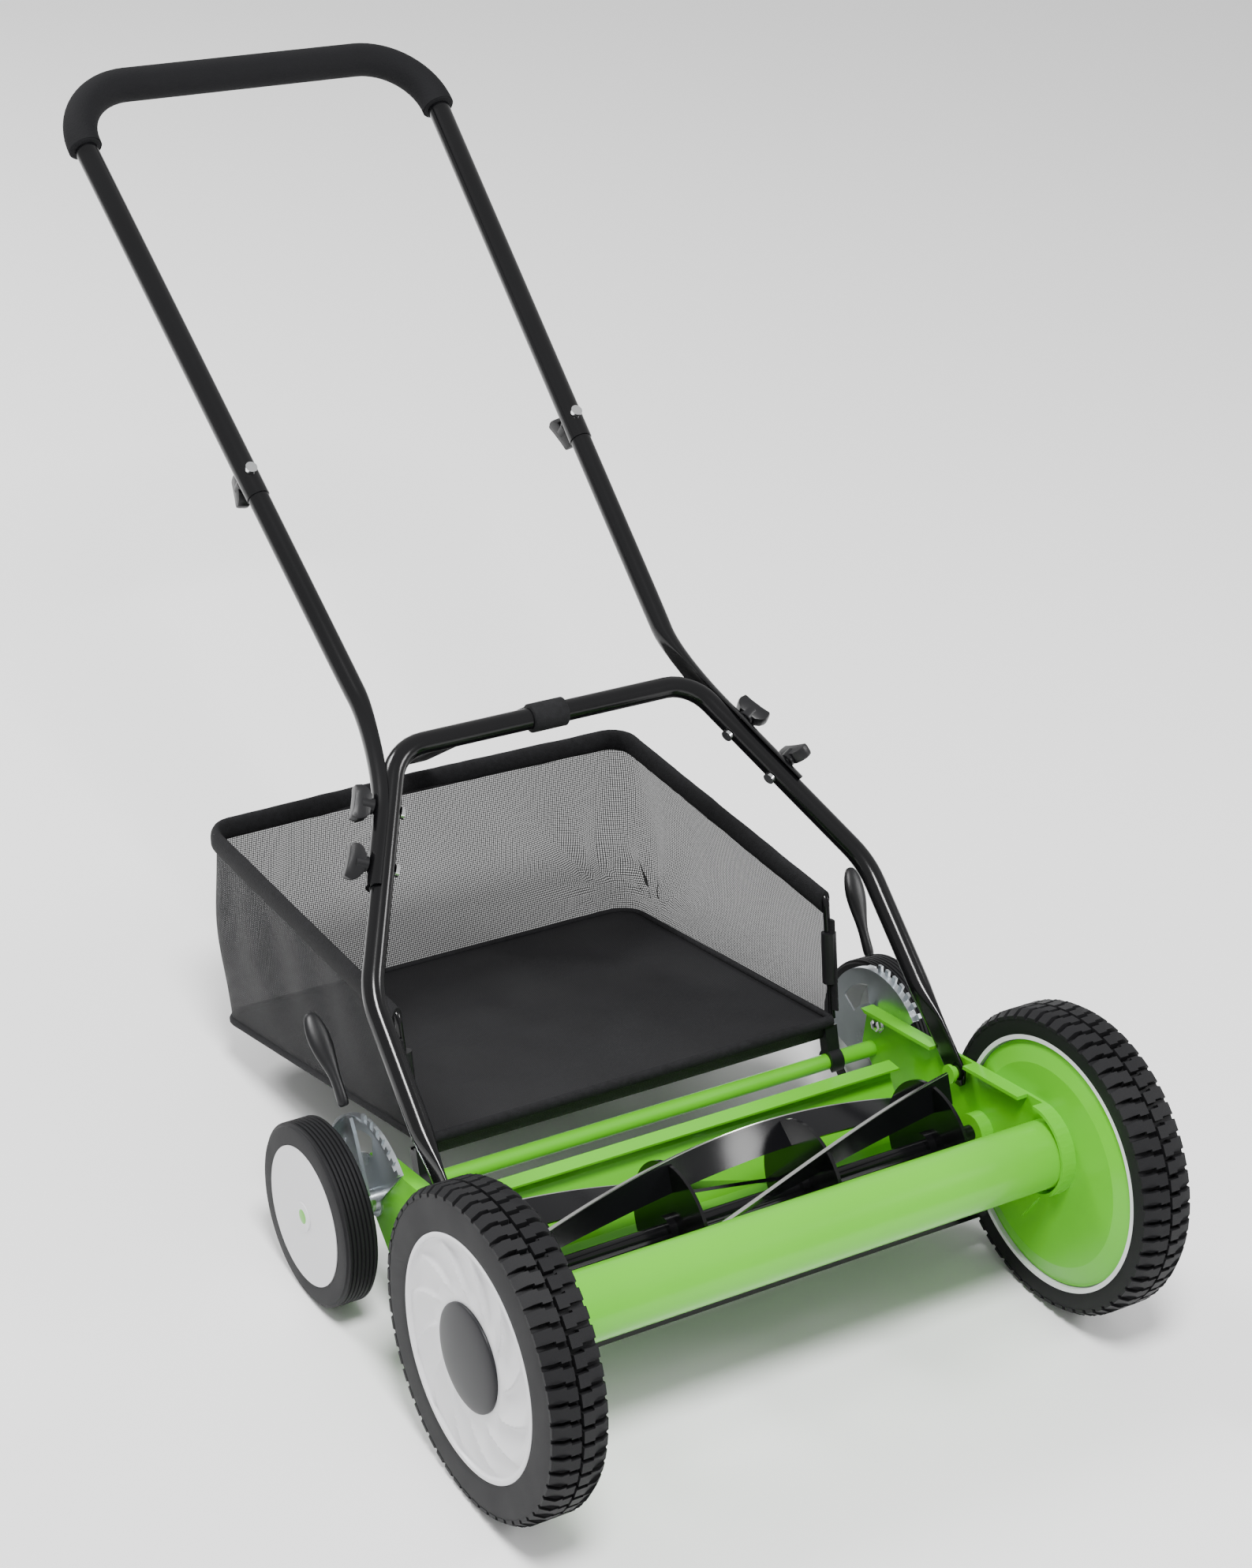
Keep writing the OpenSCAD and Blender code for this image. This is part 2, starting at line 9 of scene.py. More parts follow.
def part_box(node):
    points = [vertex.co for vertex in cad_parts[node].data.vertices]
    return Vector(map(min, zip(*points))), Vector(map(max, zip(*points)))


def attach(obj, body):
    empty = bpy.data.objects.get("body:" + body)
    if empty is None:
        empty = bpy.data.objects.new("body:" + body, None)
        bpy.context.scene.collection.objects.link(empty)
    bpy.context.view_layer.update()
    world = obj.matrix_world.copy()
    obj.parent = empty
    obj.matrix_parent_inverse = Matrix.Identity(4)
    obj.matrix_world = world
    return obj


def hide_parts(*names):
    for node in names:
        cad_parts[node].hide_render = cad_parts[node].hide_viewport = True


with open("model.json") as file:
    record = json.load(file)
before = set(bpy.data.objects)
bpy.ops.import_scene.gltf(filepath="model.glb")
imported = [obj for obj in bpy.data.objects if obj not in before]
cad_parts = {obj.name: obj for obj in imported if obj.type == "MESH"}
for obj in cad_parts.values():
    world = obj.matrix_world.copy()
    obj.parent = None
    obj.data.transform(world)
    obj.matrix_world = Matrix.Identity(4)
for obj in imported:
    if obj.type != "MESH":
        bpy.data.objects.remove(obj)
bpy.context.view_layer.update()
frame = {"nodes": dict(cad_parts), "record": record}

# ---- Camera, floor and light ----
# A long lens looks down on the mower from its front left corner, tipped a few degrees as the
# mower was seen. The floor and the light are plain and pale, like a studio table.
bearing, height_angle, tip = math.radians(-33.678), math.radians(29.954), math.radians(4.756)
back = Vector((math.sin(bearing) * math.cos(height_angle), -math.cos(bearing) * math.cos(height_angle),
               math.sin(height_angle)))
level = Vector((0, 0, 1)).cross(back).normalized()
lift = back.cross(level)
right = level * math.cos(tip) + lift * math.sin(tip)
upward = lift * math.cos(tip) - level * math.sin(tip)
camera = bpy.data.objects.new("camera", bpy.data.cameras.new("camera"))
bpy.context.scene.collection.objects.link(camera)
camera.matrix_world = Matrix((
    (right.x, upward.x, back.x, -1.1965), (right.y, upward.y, back.y, -1.9531),
    (right.z, upward.z, back.z, 1.6287), (0, 0, 0, 1)))
camera.data.lens = 72.57
camera.data.sensor_width = 36
bpy.context.scene.camera = camera


def lamp(name, place, aim, size, watts):
    light = bpy.data.lights.new(name, "AREA")
    light.shape, light.size, light.energy = "DISK", size, watts
    holder = bpy.data.objects.new(name, light)
    holder.location = place
    holder.rotation_euler = (Vector(aim) - Vector(place)).to_track_quat("-Z", "Y").to_euler()
    bpy.context.scene.collection.objects.link(holder)


lamp("key_light", (-0.7, -1.4, 3.2), (0, 0, 0.2), 0.9, 150)
lamp("fill_light", (2.6, -1.6, 1.9), (0, 0, 0.2), 1.0, 45)
lamp("back_light", (-1.4, 2.4, 2.6), (0, 0, 0.3), 1.2, 110)
world = bpy.data.worlds.new("studio")
world.use_nodes = True
world.node_tree.nodes["Background"].inputs["Color"].default_value = (1, 1, 1, 1)
world.node_tree.nodes["Background"].inputs["Strength"].default_value = 0.72
bpy.context.scene.world = world

floor_mesh = bpy.data.meshes.new("floor")
half_floor = 12
floor_mesh.from_pydata([(-half_floor, -half_floor, 0), (half_floor, -half_floor, 0),
                        (half_floor, half_floor, 0), (-half_floor, half_floor, 0)], [], [(0, 1, 2, 3)])
floor = bpy.data.objects.new("floor", floor_mesh)
bpy.context.scene.collection.objects.link(floor)
floor_paint = bpy.data.materials.new("floor_paint")
floor_paint.use_nodes = True
floor_paint.node_tree.nodes["Principled BSDF"].inputs["Base Color"].default_value = (0.93, 0.93, 0.93, 1)
floor_paint.node_tree.nodes["Principled BSDF"].inputs["Roughness"].default_value = 0.9
floor.data.materials.append(floor_paint)


# ---- Deck: plates, tubes, deflector and gear covers ----
# Pressed sheet steel, bent and welded, then powder-coated in gloss green. The coat has a faint
# orange peel, and its tone drifts a little from panel to panel.
def coat(name, colour, rough, metal=0.0, clear=0.0, blotch=9.0, vary=0.06, grain=1500.0, relief=0.05,
         wear=0.06, gleam=0.5):
    """A finish whose tone and gloss drift in blotches, over a fine grain that is felt as bump."""
    made = bpy.data.materials.new(name)
    made.use_nodes = True
    nodes, link = made.node_tree.nodes, made.node_tree.links.new
    shader = nodes["Principled BSDF"]
    shader.inputs["Metallic"].default_value = metal
    shader.inputs["Specular IOR Level"].default_value = gleam
    shader.inputs["Coat Weight"].default_value = clear
    shader.inputs["Coat Roughness"].default_value = 0.12
    place = nodes.new("ShaderNodeTexCoord")
    cloud = nodes.new("ShaderNodeTexNoise")
    cloud.inputs["Scale"].default_value = blotch
    cloud.inputs["Detail"].default_value = 6
    link(place.outputs["Object"], cloud.inputs["Vector"])
    tone = nodes.new("ShaderNodeMix")
    tone.data_type = "RGBA"
    tone.inputs[6].default_value = (*[c * (1 - vary) for c in colour], 1)
    tone.inputs[7].default_value = (*[min(1, c * (1 + vary)) for c in colour], 1)
    link(cloud.outputs["Fac"], tone.inputs[0])
    link(tone.outputs[2], shader.inputs["Base Color"])
    fine = nodes.new("ShaderNodeTexNoise")
    fine.inputs["Scale"].default_value = grain
    fine.inputs["Detail"].default_value = 3
    link(place.outputs["Object"], fine.inputs["Vector"])
    shine = nodes.new("ShaderNodeMapRange")
    shine.inputs["To Min"].default_value = max(0.02, rough - wear)
    shine.inputs["To Max"].default_value = min(1, rough + wear)
    link(cloud.outputs["Fac"], shine.inputs["Value"])
    link(shine.outputs["Result"], shader.inputs["Roughness"])
    bump = nodes.new("ShaderNodeBump")
    bump.inputs["Strength"].default_value = relief
    bump.inputs["Distance"].default_value = 0.001
    link(fine.outputs["Fac"], bump.inputs["Height"])
    link(bump.outputs["Normal"], shader.inputs["Normal"])
    return made


def dress(made, *names):
    for name in names:
        node = frame["nodes"][name]
        node.data.materials.clear()
        node.data.materials.append(made)


green_paint = coat("green_paint", (0.105, 0.465, 0.012), 0.30, clear=0.2, grain=900, relief=0.03, gleam=0.3)
dress(green_paint, "side_plate_left", "side_plate_right", "front_tube", "tie_rod", "rear_deflector",
      "gear_cover_left", "gear_cover_right", "reel_bearing_left", "reel_bearing_right", "handle_pins")


# Rivets hold the deflector's stiffening strip: low domes, painted over with the sheet.
def line_tree():
    tree = bpy.data.node_groups.new("row_of_parts", "GeometryNodeTree")
    sockets = {}
    for name, kind in (("Geometry", "Geometry"), ("Part", "Object"), ("Count", "Int"), ("First", "Vector"),
                       ("Step", "Vector"), ("Finish", "Material")):
        sockets[name] = tree.interface.new_socket(name, in_out="INPUT", socket_type="NodeSocket" + kind)
    tree.interface.new_socket("Geometry", in_out="OUTPUT", socket_type="NodeSocketGeometry")
    inlet, outlet = tree.nodes.new("NodeGroupInput"), tree.nodes.new("NodeGroupOutput")
    line = tree.nodes.new("GeometryNodeMeshLine")
    part = tree.nodes.new("GeometryNodeObjectInfo")
    place = tree.nodes.new("GeometryNodeInstanceOnPoints")
    real = tree.nodes.new("GeometryNodeRealizeInstances")
    paint = tree.nodes.new("GeometryNodeSetMaterial")
    link = tree.links.new
    link(inlet.outputs["Count"], line.inputs["Count"])
    link(inlet.outputs["First"], line.inputs["Start Location"])
    link(inlet.outputs["Step"], line.inputs["Offset"])
    link(inlet.outputs["Part"], part.inputs["Object"])
    link(line.outputs["Mesh"], place.inputs["Points"])
    link(part.outputs["Geometry"], place.inputs["Instance"])
    link(place.outputs["Instances"], real.inputs["Geometry"])
    link(real.outputs["Geometry"], paint.inputs["Geometry"])
    link(inlet.outputs["Finish"], paint.inputs["Material"])
    link(paint.outputs["Geometry"], outlet.inputs["Geometry"])
    return tree, sockets


def new_piece(name, points, faces, made, sharp=35):
    mesh = bpy.data.meshes.new(name)
    mesh.from_pydata([tuple(p) for p in points], [], faces)
    mesh.validate()
    work = bmesh.new()
    work.from_mesh(mesh)
    bmesh.ops.remove_doubles(work, verts=work.verts, dist=1e-6)
    bmesh.ops.recalc_face_normals(work, faces=work.faces)
    work.to_mesh(mesh)
    work.free()
    mesh.shade_smooth()
    mesh.set_sharp_from_angle(angle=math.radians(sharp))
    mesh.materials.append(made)
    piece = bpy.data.objects.new(name, mesh)
    bpy.context.scene.collection.objects.link(piece)
    return piece


def built(name, tree, sockets, part, made, **values):
    """Bakes a part that a node tree repeats; values go to the tree's inputs of the same names."""
    piece = bpy.data.objects.new(name, bpy.data.meshes.new(name))
    bpy.context.scene.collection.objects.link(piece)
    maker = piece.modifiers.new("maker", "NODES")
    maker.node_group = tree
    maker[sockets["Part"].identifier] = part
    maker[sockets["Finish"].identifier] = made
    for key, value in values.items():
        maker[sockets[key].identifier] = value
    bpy.context.view_layer.update()
    mesh = bpy.data.meshes.new_from_object(piece.evaluated_get(bpy.context.evaluated_depsgraph_get()))
    piece.modifiers.clear()
    piece.data = mesh
    mesh.shade_smooth()
    mesh.set_sharp_from_angle(angle=math.radians(35))
    bpy.data.objects.remove(part)
    return piece


def turned(rings, around=16):
    """Points and faces of a closed solid of revolution about Z, from (radius, height) pairs."""
    points, faces = [], []
    for r, h in rings:
        points += [Vector((r * math.cos(a), r * math.sin(a), h))
                   for a in (2 * math.pi * k / around for k in range(around))]
    for i in range(len(rings) - 1):
        for k in range(around):
            m = (k + 1) % around
            faces.append((i * around + k, i * around + m, (i + 1) * around + m, (i + 1) * around + k))
    faces.append(tuple(range(around))[::-1])
    faces.append(tuple(range((len(rings) - 1) * around, len(rings) * around)))
    return points, faces


row, row_sockets = line_tree()
sheet_low, sheet_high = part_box("rear_deflector")
rivet_points, rivet_faces = turned([(0.0052, -0.001), (0.0052, 0.0004), (0.0046, 0.0013), (0.003, 0.002),
                                    (0.001, 0.0023)])
slope = Matrix.Rotation(math.radians(15), 3, "X")
rivet = new_piece("rivet", [slope @ p for p in rivet_points], rivet_faces, green_paint)
rivets = built("deflector_rivets", row, row_sockets, rivet, green_paint, Count=6,
               First=(sheet_low.x + 0.035, sheet_low.y + 0.038, sheet_low.z + 0.0105),
               Step=((sheet_high.x - sheet_low.x - 0.07) / 5, 0, 0))
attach(rivets, "frame")


# ---- Bare metal: quadrants, levers, axles and the bed knife ----
# Zinc-plated pressed steel, bright with a blue cast and fine streaks; the bolts are chrome.
zinc = coat("zinc_plate", (0.56, 0.60, 0.63), 0.30, metal=1.0, blotch=26, vary=0.18, grain=2400,
            relief=0.06, wear=0.12)
dress(zinc, "bed_knife", "quadrant_left", "quadrant_right", "height_lever_left", "height_lever_right",
      "front_axle_left", "front_axle_right", "reel_pinions")
chrome = coat("bolt_chrome", (0.78, 0.79, 0.80), 0.14, metal=1.0, blotch=40, vary=0.06, relief=0.02,
              wear=0.05)
dress(chrome, "bed_screws", "quadrant_bolts", "lower_bolts", "upper_bolts")


# A domed nut on each plate's rear corner clamps the quadrant to the deck.
SIDES = {"left": -1, "right": 1}
MIDDLE = 0.44325  # how far the front axle is ahead of the frame's origin
DECK_HALF, NUT_Y, NUT_Z = 0.238, 0.2245 - MIDDLE, 0.1245
for end, side in SIDES.items():
    points, faces = turned([(0.0082, 0.0002), (0.0082, 0.0012), (0.0062, 0.0013), (0.0062, 0.0046),
                            (0.0050, 0.0060), (0.0024, 0.0070), (0.0004, 0.0073)], 6)
    set_points = [Vector((side * (DECK_HALF - p.z), NUT_Y + p.x, NUT_Z + p.y)) for p in points]
    nut = new_piece("quadrant_nut_" + end, set_points, faces, chrome, 25)
    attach(nut, "frame")


# ---- Reel: blades and spiders ----
# Strips of hardened steel wound into a helix and welded to stamped discs. Everything is dipped
# in black paint, and the cutting edges are then ground bright.
black_paint = coat("black_paint", (0.0035, 0.0035, 0.004), 0.16, grain=1100, relief=0.02, vary=0.2,
                   gleam=0.32, wear=0.03)
dress(black_paint, "cutter_bar", "reel_shaft", "reel_spiders", "upper_handle", "catcher_wire")
joints = {j["name"]: j for j in frame["record"]["behaviour"]["joints"]}
reel_y, reel_z = joints["reel_spin"]["pos_m"][1:]
BLADE_TIP, BLADE_DEPTH, BLADE_THICK = 0.0595, 0.026, 0.003
BLADES, FIRST_TURN, TWIST = 5, 182, 108


def ground_edge(made, start, stop):
    """Bright steel beyond a radius from the reel's axis, over the black paint."""
    nodes, link = made.node_tree.nodes, made.node_tree.links.new
    shader = nodes["Principled BSDF"]
    place = nodes.new("ShaderNodeTexCoord")
    centre = nodes.new("ShaderNodeMapping")
    centre.inputs["Location"].default_value = (0, -reel_y, -reel_z)
    centre.inputs["Scale"].default_value = (0, 1, 1)
    reach = nodes.new("ShaderNodeVectorMath")
    reach.operation = "LENGTH"
    edge = nodes.new("ShaderNodeMapRange")
    edge.inputs["From Min"].default_value = start
    edge.inputs["From Max"].default_value = stop
    link(place.outputs["Object"], centre.inputs["Vector"])
    link(centre.outputs["Vector"], reach.inputs[0])
    link(reach.outputs["Value"], edge.inputs["Value"])
    under = shader.inputs["Base Color"].links[0].from_socket
    tone = nodes.new("ShaderNodeMix")
    tone.data_type = "RGBA"
    tone.inputs[7].default_value = (0.62, 0.62, 0.60, 1)
    link(edge.outputs["Result"], tone.inputs[0])
    link(under, tone.inputs[6])
    link(tone.outputs[2], shader.inputs["Base Color"])
    link(edge.outputs["Result"], shader.inputs["Metallic"])


blade_steel = coat("blade_steel", (0.005, 0.005, 0.006), 0.20, grain=900, relief=0.04, vary=0.25, gleam=0.3)
ground_edge(blade_steel, BLADE_TIP - 0.0012, BLADE_TIP - 0.0006)
for number in range(BLADES):
    low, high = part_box("reel_blade_%d" % (number + 1))
    steps = 120
    points, faces = [], []
    for i in range(steps + 1):
        share = i / steps
        turn = math.radians(FIRST_TURN + 360 / BLADES * number - TWIST * share)
        across = Vector((0, math.cos(turn), math.sin(turn)))
        along = Vector((0, -math.sin(turn), math.cos(turn)))
        x = low.x + (high.x - low.x) * share
        for r, t in ((BLADE_TIP - BLADE_DEPTH, 0.004), (BLADE_TIP - 0.012, 0.0014), (BLADE_TIP - 0.0006, 0),
                     (BLADE_TIP - 0.0003, BLADE_THICK - 0.0004), (BLADE_TIP - 0.012, 0.0014 + BLADE_THICK),
                     (BLADE_TIP - BLADE_DEPTH, 0.004 + BLADE_THICK)):
            points.append(Vector((x, reel_y, reel_z)) + across * r + along * t)
    for i in range(steps):
        for k in range(6):
            m = (k + 1) % 6
            faces.append((i * 6 + k, i * 6 + m, i * 6 + 6 + m, i * 6 + 6 + k))
    faces += [tuple(range(6)), tuple(range(steps * 6, steps * 6 + 6))]
    blade = new_piece("helical_blade_%d" % (number + 1), points, faces, blade_steel)
    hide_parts("reel_blade_%d" % (number + 1))
    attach(blade, "reel")


# ---- Front wheels ----
# A lugged rubber tyre on a moulded pale hub. The hub's face has shallow swirled vanes, and a
# dark domed cap clips over the axle nut. A ring gear is moulded inside the hub.
FACE_X = 0.2842


def lathe(profile, centre, side, around, lift=None):
    """Points and faces of a closed ring turned about X; lift raises the points of the hub's face."""
    points, faces = [], []
    for k in range(around):
        a = 2 * math.pi * k / around
        for r, x in profile:
            rise = lift(r, a) if lift and x == FACE_X else 0
            y, z = centre[0] + r * math.cos(a), centre[1] + r * math.sin(a)
            points.append(Vector((side * (x + rise), y, z)))
    n = len(profile)
    for k in range(around):
        m = (k + 1) % around
        for i in range(n):
            j = (i + 1) % n
            faces.append((k * n + i, k * n + j, m * n + j, m * n + i))
    return points, faces


def ring_tree():
    tree = bpy.data.node_groups.new("ring_of_parts", "GeometryNodeTree")
    sockets = {}
    for name, kind in (("Geometry", "Geometry"), ("Part", "Object"), ("Count", "Int"), ("Centre", "Vector"),
                       ("Finish", "Material")):
        sockets[name] = tree.interface.new_socket(name, in_out="INPUT", socket_type="NodeSocket" + kind)
    tree.interface.new_socket("Geometry", in_out="OUTPUT", socket_type="NodeSocketGeometry")
    inlet, outlet = tree.nodes.new("NodeGroupInput"), tree.nodes.new("NodeGroupOutput")
    spots = tree.nodes.new("GeometryNodePoints")
    part = tree.nodes.new("GeometryNodeObjectInfo")
    order = tree.nodes.new("GeometryNodeInputIndex")
    pitch = tree.nodes.new("ShaderNodeMath")
    pitch.operation = "DIVIDE"
    pitch.inputs[0].default_value = 2 * math.pi
    angle = tree.nodes.new("ShaderNodeMath")
    angle.operation = "MULTIPLY"
    euler = tree.nodes.new("ShaderNodeCombineXYZ")
    turn = tree.nodes.new("FunctionNodeEulerToRotation")
    place = tree.nodes.new("GeometryNodeInstanceOnPoints")
    real = tree.nodes.new("GeometryNodeRealizeInstances")
    paint = tree.nodes.new("GeometryNodeSetMaterial")
    link = tree.links.new
    link(inlet.outputs["Count"], spots.inputs["Count"])
    link(inlet.outputs["Centre"], spots.inputs["Position"])
    link(inlet.outputs["Count"], pitch.inputs[1])
    link(order.outputs["Index"], angle.inputs[0])
    link(pitch.outputs["Value"], angle.inputs[1])
    link(angle.outputs["Value"], euler.inputs["X"])
    link(euler.outputs["Vector"], turn.inputs["Euler"])
    link(inlet.outputs["Part"], part.inputs["Object"])
    link(spots.outputs["Points"], place.inputs["Points"])
    link(part.outputs["Geometry"], place.inputs["Instance"])
    link(turn.outputs["Rotation"], place.inputs["Rotation"])
    link(place.outputs["Instances"], real.inputs["Geometry"])
    link(real.outputs["Geometry"], paint.inputs["Geometry"])
    link(inlet.outputs["Finish"], paint.inputs["Material"])
    link(paint.outputs["Geometry"], outlet.inputs["Geometry"])
    return tree, sockets


def merge(piece, *others):
    """Takes the others' meshes into the piece's own mesh."""
    work = bmesh.new()
    work.from_mesh(piece.data)
    for other in others:
        work.from_mesh(other.data)
        bpy.data.objects.remove(other)
    work.to_mesh(piece.data)
    work.free()


ring, ring_sockets = ring_tree()
rubber = coat("tyre_rubber", (0.011, 0.011, 0.012), 0.56, blotch=30, vary=0.18, grain=1600, relief=0.16,
              wear=0.1, gleam=0.14)
hub_plastic = coat("hub_plastic", (0.66, 0.66, 0.675), 0.36, blotch=14, vary=0.03, grain=1300, relief=0.03)
cap_plastic = coat("cap_plastic", (0.018, 0.018, 0.020), 0.36, blotch=20, vary=0.1, grain=1800, relief=0.05,
                   gleam=0.16)
WHEEL_R = 0.127
LUGS = 56
pitch_angle = 2 * math.pi / LUGS
wheel_y, wheel_z = joints["front_wheel_left_spin"]["pos_m"][1:]


def lug_top(x):
    """Radius of a lug's crown across the tread; it falls away at both shoulders."""
    edge = max(abs(x - 0.264) - 0.017, 0)
    return WHEEL_R - 0.0002 - 130 * edge * edge


def lug(side, outline):
    """One tread block from an outline of (x, share of the pitch)."""
    points, faces = [], []
    for low in (True, False):
        for x, share in outline:
            r = 0.1195 if low else lug_top(x)
            grow = 1.0 if low else 0.93
            middle = sum(s for _, s in outline) / len(outline)
            a = (middle + (share - middle) * grow) * pitch_angle
            points.append(Vector((side * x, r * math.cos(a), r * math.sin(a))))
    n = len(outline)
    faces.append(tuple(range(n)))
    faces.append(tuple(range(n, 2 * n)))
    faces += [(i, (i + 1) % n, n + (i + 1) % n, n + i) for i in range(n)]
    return points, faces


OUTER_LUG = [(0.2655, 0.02), (0.2735, 0.02), (0.2735, -0.14), (0.2800, -0.14), (0.2868, -0.14),
             (0.2868, 0.62), (0.2800, 0.62), (0.2735, 0.62), (0.2735, 0.74), (0.2655, 0.74)]
INNER_LUG = [(0.2412, 0.38), (0.2480, 0.38), (0.2545, 0.38), (0.2545, 0.50), (0.2632, 0.50), (0.2632, 1.24),
             (0.2545, 1.24), (0.2545, 1.10), (0.2480, 1.10), (0.2412, 1.10)]


def swirl(r, a):
    """Height of the hub's face: twelve vanes that sweep back from the cap to the rim."""
    band = max(0.0, min(1.0, (r - 0.047) / 0.010)) * max(0.0, min(1.0, (0.0885 - r) / 0.008))
    phase = (12 * (a + 12 * (r - 0.045)) / (2 * math.pi)) % 1
    rise = phase / 0.86 if phase < 0.86 else (1 - phase) / 0.14
    return 0.0046 * band * rise * rise - 0.0020 * band


for end, side in SIDES.items():
    body = "front_wheel_" + end
    centre = (wheel_y, wheel_z)
    carcass = [(0.107, 0.243), (0.1135, 0.2418), (0.120, 0.2416), (0.1205, 0.244), (0.1205, 0.264),
               (0.1205, 0.284), (0.120, 0.2864), (0.1135, 0.2870), (0.104, 0.2868), (0.0985, 0.2870),
               (0.0945, 0.2866), (0.0943, 0.284), (0.1043, 0.280), (0.1043, 0.250)]
    tyre = new_piece("lugged_tyre_" + end, *lathe(carcass, centre, side, 144), rubber, 40)
    rows = []
    for outline in (OUTER_LUG, INNER_LUG):
        block = new_piece("tread_block", *lug(side, outline), rubber)
        rows.append(built("tread_row", ring, ring_sockets, block, rubber, Count=LUGS, Centre=(0, *centre)))
    merge(tyre, *rows)
    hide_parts("front_tyre_" + end)
    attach(tyre, body)

    face = [(0.0435 + 0.0455 * i / 34, FACE_X) for i in range(35)]
    bead = [(0.0895, 0.2846), (0.0902, 0.2868), (0.0912, 0.2871), (0.0932, 0.2871), (0.0940, 0.2866),
            (0.094, 0.284)]
    inside = [(0.104, 0.280), (0.104, 0.250), (0.1068, 0.243), (0.103, 0.243), (0.103, 0.248), (0.100, 0.249),
              (0.100, 0.2805), (0.020, 0.2805), (0.020, 0.250), (0.0083, 0.250)]
    shell = [(0.0083, 0.284)] + face + bead + inside
    hub = new_piece("swirled_hub_" + end, *lathe(shell, centre, side, 288, swirl), hub_plastic, 50)
    half = math.radians(1.0)
    root_r, tip_r = 0.1005, 0.0885
    corners = ((root_r, -half), (tip_r, -half / 2), (tip_r, half / 2), (root_r, half))
    tooth_points = [Vector((side * x, r * math.cos(a), r * math.sin(a)))
                    for x in (0.250, 0.262) for r, a in corners]
    tooth_faces = [(0, 1, 2, 3), (4, 5, 6, 7), (0, 1, 5, 4), (1, 2, 6, 5), (2, 3, 7, 6), (3, 0, 4, 7)]
    offset = Matrix.Rotation(math.radians(-11 + 2), 3, "X")
    tooth = new_piece("ring_tooth", [offset @ p for p in tooth_points], tooth_faces, hub_plastic)
    teeth = built("ring_gear", ring, ring_sockets, tooth, hub_plastic, Count=90, Centre=(0, *centre))
    merge(hub, teeth)
    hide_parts("front_hub_" + end)
    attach(hub, body)

    low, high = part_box("hub_cap_" + end)
    dome = abs(high.x if side > 0 else low.x)
    cap_r = (high.z - low.z) / 2
    rise = 0.0042
    rings = [(0.0, 0.2843), (cap_r, 0.2843), (cap_r, dome - rise)]
    rings += [(cap_r * math.cos(t), dome - rise + rise * math.sin(t))
              for t in (math.radians(6 * i) for i in range(1, 15))] + [(0.0, dome)]
    cap = new_piece("domed_cap_" + end, *lathe(rings, centre, side, 96), cap_plastic, 50)
    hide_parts("hub_cap_" + end)
    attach(cap, body)


# ---- Rear wheels ----
# Small solid rubber rollers with ribs round the tread, on a flat pale disc that is held by a
# push nut on the lever's green-painted axle end.
rear_y, rear_z = joints["rear_wheel_left_spin"]["pos_m"][1:]
for end, side in SIDES.items():
    body = "rear_wheel_" + end
    low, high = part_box("rear_tyre_" + end)
    inner, outer = sorted((abs(low.x), abs(high.x)))
    radius = (high.z - low.z) / 2
    ribs = 7
    tread = [(0.0577, inner), (radius - 0.006, inner), (radius - 0.003, inner + 0.0006)]
    pitch = (outer - inner - 0.004) / ribs
    for i in range(ribs):
        x = inner + 0.002 + i * pitch
        tread += [(radius - 0.0022, x), (radius - 0.0002, x + 0.0007), (radius, x + pitch / 2),
                  (radius - 0.0002, x + pitch - 0.0007), (radius - 0.0022, x + pitch)]
    tread += [(radius - 0.003, outer - 0.0006), (radius - 0.006, outer), (0.0577, outer)]
    tyre = new_piece("ribbed_tyre_" + end, *lathe(tread, (rear_y, rear_z), side, 128), rubber, 40)
    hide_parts("rear_tyre_" + end)
    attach(tyre, body)
    dress(hub_plastic, "rear_disc_" + end)
    rings = [(r, outer + rise) for r, rise in ((0.0, 0.0004), (0.0075, 0.0004), (0.0075, 0.0010),
                                               (0.0060, 0.0015), (0.0035, 0.0018), (0.0, 0.0019))]
    stub = new_piece("axle_end_" + end, *lathe(rings, (rear_y, rear_z), side, 32), green_paint)
    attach(stub, "height_lever_" + end)


# ---- Skins that follow a path ----
# The handle's tubes, the grips, the straps and the catcher's hems are all a ring of points drawn
# along a bent line, which is first used here for the foam grip. The grip is closed-cell foam
# pushed over the bar and both bends.
def rounded(corners, radii, step=0.006):
    """Points along a polyline in metres whose corners are bent to the given radii."""
    line = [corners[0]]
    for before, corner, after, radius in zip(corners, corners[1:], corners[2:], radii):
        u, v = (corner - before).normalized(), (after - corner).normalized()
        turn = u.angle(v)
        cut = radius * math.tan(turn / 2)
        n = (v - u * v.dot(u)).normalized()
        centre = corner - u * cut + n * radius
        count = max(3, int(radius * turn / step))
        line += [centre + (u * math.sin(turn * i / count) - n * math.cos(turn * i / count)) * radius
                 for i in range(count + 1)]
    line.append(corners[-1])
    return line


def spread(line, step):
    """The same line with extra points, so that no two are further apart than step."""
    full = [line[0]]
    for a, b in zip(line, line[1:]):
        count = max(1, math.ceil((b - a).length / step))
        full += [a.lerp(b, i / count) for i in range(1, count + 1)]
    return full


def skin(line, up, ring_at):
    """Points and faces of a skin; ring_at(i) gives the ring's (side, up) offsets at point i, in metres."""
    points, faces = [], []
    for i, p in enumerate(line):
        t = (line[min(i + 1, len(line) - 1)] - line[max(i - 1, 0)]).normalized()
        u = (up - t * up.dot(t)).normalized()
        s = t.cross(u)
        ring_points = ring_at(i)
        points += [p + s * a + u * b for a, b in ring_points]
    n = len(ring_points)
    for i in range(len(line) - 1):
        for k in range(n):
            m = (k + 1) % n
            faces.append((i * n + k, i * n + m, (i + 1) * n + m, (i + 1) * n + k))
    faces += [tuple(range(n)), tuple(range((len(line) - 1) * n, len(line) * n))]
    return points, faces


